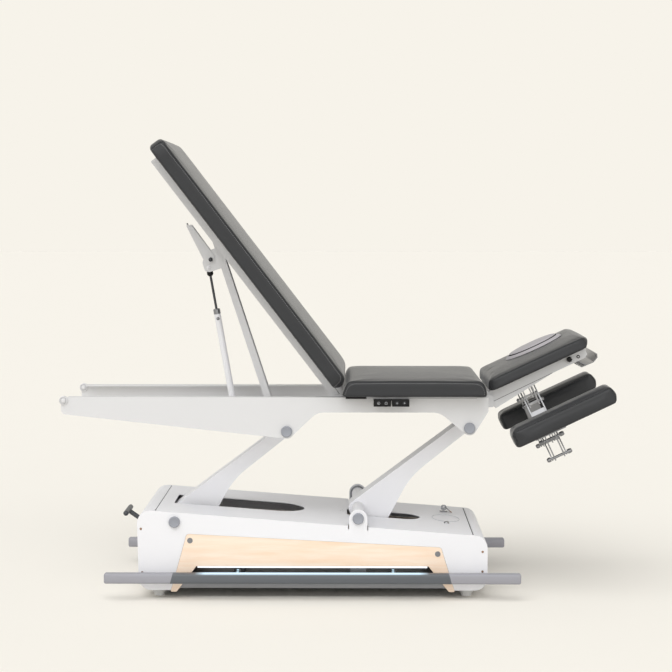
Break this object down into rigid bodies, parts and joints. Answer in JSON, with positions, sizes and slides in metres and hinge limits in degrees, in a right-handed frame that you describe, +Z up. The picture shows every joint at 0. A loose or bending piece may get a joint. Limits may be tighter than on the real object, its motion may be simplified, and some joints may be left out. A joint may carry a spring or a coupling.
{
  "type": "treatment table",
  "caption": "Electrically raised treatment table on a white base, with a steep raised long section on a gas spring, a seat, a tilted head section with a face opening, and hanging armrests.",
  "frame": {"origin": "middle of the table's length and width, on the floor", "axes": "+X towards the head section, +Y away from the pictured side, +Z up"},
  "size_m": [1.964, 0.735, 1.6173],
  "materials": {
    "bar_plastic": "satin",
    "birch": "satin",
    "black_plastic": "satin",
    "board": "matte",
    "bright_steel": "polished",
    "cap_plastic": "satin",
    "foot_plastic": "satin",
    "grey_paint": "satin",
    "light_diffuser": "satin",
    "plug_cover": "satin",
    "slate": "satin",
    "upholstery": "satin",
    "white_paint": "satin",
    "zinc_steel": "satin"
  },
  "bodies": {
    "base": {"base_side_plate_near": "white_paint", "base_side_plate_far": "white_paint", "base_top_plate": "white_paint", "base_end_cover_foot": "white_paint", "base_end_cover_head": "white_paint", "base_chassis": "zinc_steel", "wood_panel_near": "birch", "wood_panel_far": "birch", "light_strip_near": "light_diffuser", "light_strip_far": "light_diffuser", "levelling_foot_foot_near": "foot_plastic", "levelling_foot_foot_far": "foot_plastic", "levelling_foot_head_near": "foot_plastic", "levelling_foot_head_far": "foot_plastic", "lower_axle_foot": "zinc_steel", "lower_axle_head": "zinc_steel", "lift_motor": "slate", "control_unit": "black_plastic", "key_lock": "bright_steel"},
    "lift_motor_rod": {"lift_motor_rod": "bright_steel"},
    "safety_key": {"safety_key": "bright_steel"},
    "foot_bar_near": {"foot_bar_near": "bar_plastic"},
    "foot_bar_far": {"foot_bar_far": "bar_plastic"},
    "castor_pedal": {"castor_pedal": "slate"},
    "lift_arm_foot": {"lift_arm_foot": "white_paint"},
    "lift_arm_head": {"lift_arm_head": "white_paint"},
    "upper_frame": {"rail_near": "grey_paint", "rail_far": "grey_paint", "upper_axle_foot": "zinc_steel", "upper_axle_head": "zinc_steel", "support_arm_axle": "zinc_steel", "gas_spring_axle": "zinc_steel", "seat_subframe": "grey_paint", "seat_board": "board", "seat_cushion": "upholstery", "control_boxes": "black_plastic"},
    "long_section": {"long_section_frame": "grey_paint", "long_section_cushion": "upholstery"},
    "support_arm": {"support_arm": "grey_paint"},
    "gas_spring_cylinder": {"gas_spring_cylinder": "white_paint"},
    "gas_spring_rod": {"gas_spring_rod": "slate"},
    "release_lever": {"release_lever": "grey_paint"},
    "head_section": {"head_frame": "grey_paint", "head_cushion": "upholstery"},
    "face_hole_plug": {"face_hole_plug": "plug_cover"},
    "head_release_handle": {"head_release_handle": "bright_steel"},
    "head_clamp_knob": {"head_clamp_knob": "black_plastic"},
    "button_light": {"button_light": "cap_plastic"},
    "button_memory": {"button_memory": "cap_plastic"},
    "button_up": {"button_up": "cap_plastic"},
    "button_down": {"button_down": "cap_plastic"},
    "armrest_link_outer_near": {"armrest_link_outer_near": "bright_steel"},
    "armrest_link_inner_near": {"armrest_link_inner_near": "bright_steel"},
    "armrest_carrier_near": {"armrest_carrier_near": "bright_steel", "armrest_pad_near": "upholstery"},
    "armrest_link_outer_far": {"armrest_link_outer_far": "bright_steel"},
    "armrest_link_inner_far": {"armrest_link_inner_far": "bright_steel"},
    "armrest_carrier_far": {"armrest_carrier_far": "bright_steel", "armrest_pad_far": "upholstery"}
  },
  "joints": [
    {"name": "lift", "type": "hinge", "parent": "base", "child": "lift_arm_head", "pos_m": [0.07697, 0, 0.2835], "axis": [0, -1, 0], "range_deg": [-32, 30]},
    {"name": "lift_foot_arm", "type": "hinge", "parent": "base", "child": "lift_arm_foot", "pos_m": [-0.57053, 0, 0.271], "axis": [0, -1, 0], "range_deg": [-32, 30]},
    {"name": "frame_level", "type": "hinge", "parent": "lift_arm_head", "child": "upper_frame", "pos_m": [0.47062, 0, 0.59662], "axis": [0, -1, 0], "range_deg": [-30, 32]},
    {"name": "lift_motor_stroke", "type": "slide", "parent": "base", "child": "lift_motor_rod", "axis": [0.9895, 0, 0.1449], "range_m": [-0.0585, 0.055]},
    {"name": "safety_key_out", "type": "slide", "parent": "base", "child": "safety_key", "axis": [0.0758, 0, 0.9971], "range_m": [0, 0.02]},
    {"name": "foot_bar_near_press", "type": "hinge", "parent": "base", "child": "foot_bar_near", "pos_m": [0.00047, -0.262, 0.085], "axis": [1, 0, 0], "range_deg": [0, 3.5], "stiffness_Nm_per_rad": 60, "springref_deg": -4.58},
    {"name": "foot_bar_far_press", "type": "hinge", "parent": "base", "child": "foot_bar_far", "pos_m": [0.00047, 0.262, 0.085], "axis": [-1, 0, 0], "range_deg": [0, 3.5], "stiffness_Nm_per_rad": 60, "springref_deg": -4.58},
    {"name": "castor_pedal_press", "type": "hinge", "parent": "base", "child": "castor_pedal", "pos_m": [-0.65453, 0, 0.1813], "axis": [0, -1, 0], "range_deg": [0, 20]},
    {"name": "long_section_tilt", "type": "hinge", "parent": "upper_frame", "child": "long_section", "pos_m": [0.00047, 0, 0.7], "axis": [0, 1, 0], "range_deg": [-52.5, 0]},
    {"name": "support_arm_tilt", "type": "hinge", "parent": "upper_frame", "child": "support_arm", "pos_m": [-0.23703, 0, 0.635], "axis": [0, 1, 0], "range_deg": [-67.5, 0.5]},
    {"name": "gas_spring_tilt", "type": "hinge", "parent": "upper_frame", "child": "gas_spring_cylinder", "pos_m": [-0.37253, 0, 0.612], "axis": [0, 1, 0], "range_deg": [-84, 0.5]},
    {"name": "gas_spring_stroke", "type": "slide", "parent": "gas_spring_cylinder", "child": "gas_spring_rod", "axis": [-0.1727, 0, 0.985], "range_m": [-0.119, 0.0005]},
    {"name": "release_lever_pull", "type": "hinge", "parent": "support_arm", "child": "release_lever", "pos_m": [-0.4601, 0, 1.18697], "axis": [0, 1, 0], "range_deg": [0, 8], "stiffness_Nm_per_rad": 20, "springref_deg": -8.59},
    {"name": "head_section_tilt", "type": "hinge", "parent": "upper_frame", "child": "head_section", "pos_m": [0.54747, 0, 0.6985], "axis": [0, -1, 0], "range_deg": [-40, 0]},
    {"name": "face_hole_plug_out", "type": "slide", "parent": "head_section", "child": "face_hole_plug", "axis": [-0.4226, 0, 0.9063], "range_m": [0, 0.06]},
    {"name": "head_release_squeeze", "type": "hinge", "parent": "head_section", "child": "head_release_handle", "pos_m": [0.84803, 0, 0.83479], "axis": [0, -1, 0], "range_deg": [0, 10], "stiffness_Nm_per_rad": 8, "springref_deg": -8.59},
    {"name": "head_clamp_turn", "type": "hinge", "parent": "head_section", "child": "head_clamp_knob", "pos_m": [0.82653, -0.19, 0.83712], "axis": [0, -1, 0], "range_deg": [-90, 90]},
    {"name": "button_light_press", "type": "slide", "parent": "upper_frame", "child": "button_light", "axis": [0, 1, 0], "range_m": [0, 0.0015], "stiffness_N_per_m": 600, "springref_m": -0.001},
    {"name": "button_memory_press", "type": "slide", "parent": "upper_frame", "child": "button_memory", "axis": [0, 1, 0], "range_m": [0, 0.0015], "stiffness_N_per_m": 600, "springref_m": -0.001},
    {"name": "button_up_press", "type": "slide", "parent": "upper_frame", "child": "button_up", "axis": [0, 1, 0], "range_m": [0, 0.0015], "stiffness_N_per_m": 600, "springref_m": -0.001},
    {"name": "button_down_press", "type": "slide", "parent": "upper_frame", "child": "button_down", "axis": [0, 1, 0], "range_m": [0, 0.0015], "stiffness_N_per_m": 600, "springref_m": -0.001},
    {"name": "armrest_near_swing", "type": "hinge", "parent": "head_section", "child": "armrest_link_outer_near", "pos_m": [0.55694, -0.115, 0.6782], "axis": [-0.9063, 0, -0.4226], "range_deg": [-7, 46.5]},
    {"name": "armrest_near_inner_link", "type": "hinge", "parent": "head_section", "child": "armrest_link_inner_near", "pos_m": [0.58568, -0.115, 0.61657], "axis": [-0.9063, 0, -0.4226], "range_deg": [-7, 46.5]},
    {"name": "armrest_near_level", "type": "hinge", "parent": "armrest_link_outer_near", "child": "armrest_carrier_near", "pos_m": [0.64148, -0.1938, 0.4969], "axis": [-0.9063, 0, -0.4226], "range_deg": [-46.5, 7]},
    {"name": "armrest_far_swing", "type": "hinge", "parent": "head_section", "child": "armrest_link_outer_far", "pos_m": [0.55694, 0.115, 0.6782], "axis": [0.9063, 0, 0.4226], "range_deg": [-7, 46.5]},
    {"name": "armrest_far_inner_link", "type": "hinge", "parent": "head_section", "child": "armrest_link_inner_far", "pos_m": [0.58568, 0.115, 0.61657], "axis": [0.9063, 0, 0.4226], "range_deg": [-7, 46.5]},
    {"name": "armrest_far_level", "type": "hinge", "parent": "armrest_link_outer_far", "child": "armrest_carrier_far", "pos_m": [0.64148, 0.1938, 0.4969], "axis": [0.9063, 0, 0.4226], "range_deg": [-46.5, 7]}
  ],
  "couplings": [
    {"joint": "lift_foot_arm", "follows": "lift", "ratio": 1},
    {"joint": "frame_level", "follows": "lift", "ratio": -1},
    {"joint": "lift_motor_stroke", "follows": "lift", "m_per_rad": 0.104},
    {"joint": "support_arm_tilt", "follows": "long_section_tilt", "ratio": 1.2771},
    {"joint": "gas_spring_tilt", "follows": "long_section_tilt", "ratio": 1.4895},
    {"joint": "gas_spring_stroke", "follows": "long_section_tilt", "m_per_rad": 0.12862},
    {"joint": "armrest_near_inner_link", "follows": "armrest_near_swing", "ratio": 1},
    {"joint": "armrest_near_level", "follows": "armrest_near_swing", "ratio": -1},
    {"joint": "armrest_far_inner_link", "follows": "armrest_far_swing", "ratio": 1},
    {"joint": "armrest_far_level", "follows": "armrest_far_swing", "ratio": -1}
  ]
}
